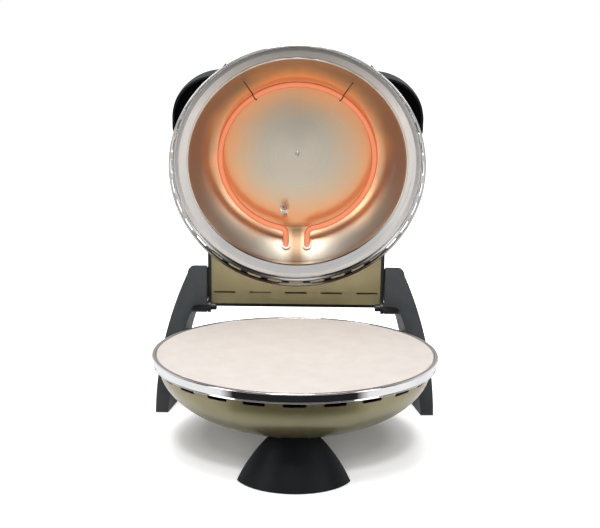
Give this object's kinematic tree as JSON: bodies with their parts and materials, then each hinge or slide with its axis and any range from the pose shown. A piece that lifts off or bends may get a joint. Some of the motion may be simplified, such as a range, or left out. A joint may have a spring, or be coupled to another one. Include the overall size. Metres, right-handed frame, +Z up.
{
  "type": "electric pizza maker",
  "caption": "Countertop electric pizza maker: round baking stone in a chrome ring on a painted bowl, hinged domed lid with a ring element, a rear handle with dials, a half-dome foot and two rear legs.",
  "frame": {"origin": "on the floor, under the middle of the footprint of the open maker", "axes": "+Z up, -Y towards the front where the pizza goes in, +X to the right of someone facing it from the front"},
  "size_m": [0.3404, 0.4152, 0.4576],
  "materials": {
    "stone": "matte",
    "chrome": "polished",
    "painted_shell": "gloss, metallic olive gold",
    "lid_liner": "brushed, heat tinted",
    "reflector": "satin",
    "element_hot": "oxidised, glowing",
    "element_cold": "oxidised",
    "ceramic": "matte",
    "black_plastic": "satin",
    "black_metal": "satin black",
    "knob_plastic": "satin, moulded",
    "screw_steel": "zinc plated",
    "steel": "turned",
    "brass": "machined",
    "copper": "dull copper",
    "rubber": "matte",
    "grey_plastic": "matte, moulded",
    "lens": "clear red",
    "lamp": "clear"
  },
  "bodies": {
    "base": {"pizza_stone": "stone", "base_rim_ring": "chrome", "base_bowl": "painted_shell", "base_liner": "reflector", "base_element": "element_cold", "element_saddles": "reflector", "base_element_bushes": "ceramic", "rim_screws": "screw_steel", "terminal_block": "ceramic", "thermal_cutout": "grey_plastic", "cord_gland": "rubber", "front_foot": "black_plastic", "foot_screws": "screw_steel", "foot_pads": "rubber", "leg_left": "black_plastic", "leg_right": "black_plastic", "rear_bracket": "black_metal", "bracket_screws": "screw_steel", "leg_screws": "screw_steel", "hinge_bushes": "brass", "hinge_washers": "steel"},
    "lid": {"lid_rim_ring": "chrome", "lid_dome": "painted_shell", "lid_liner": "lid_liner", "lid_element": "element_hot", "lid_element_bushes": "ceramic", "element_hangers": "steel", "sensor_bracket": "steel", "sensor_bulb": "copper", "liner_screw": "screw_steel", "dome_spacer": "reflector", "neck_cover": "painted_shell", "neck_panel": "painted_shell", "neck_plate_left": "black_metal", "neck_plate_right": "black_metal", "neck_rear_bar": "black_metal", "neck_screws": "screw_steel", "handle_shell": "black_plastic", "handle_screws": "screw_steel", "thermostat_body": "grey_plastic", "timer_body": "grey_plastic", "pilot_lens": "lens", "pilot_lamp": "lamp", "lid_terminal_block": "ceramic", "conduit_gland": "rubber", "hinge_pins": "steel"},
    "thermostat": {"thermostat_knob": "knob_plastic", "thermostat_shaft": "steel"},
    "timer": {"timer_knob": "knob_plastic", "timer_shaft": "steel"}
  },
  "joints": [
    {"name": "lid_hinge", "type": "hinge", "parent": "base", "child": "lid", "pos_m": [0, 0.13362, 0.132], "axis": [1, 0, 0], "range_deg": [0, 79]},
    {"name": "thermostat_turn", "type": "hinge", "parent": "lid", "child": "thermostat", "pos_m": [-0.058, 0.16404, 0.38954], "axis": [0, -0.9816, -0.1908], "range_deg": [0, 270]},
    {"name": "timer_turn", "type": "hinge", "parent": "lid", "child": "timer", "pos_m": [0.058, 0.16404, 0.38954], "axis": [0, -0.9816, -0.1908], "range_deg": [0, 300]}
  ]
}
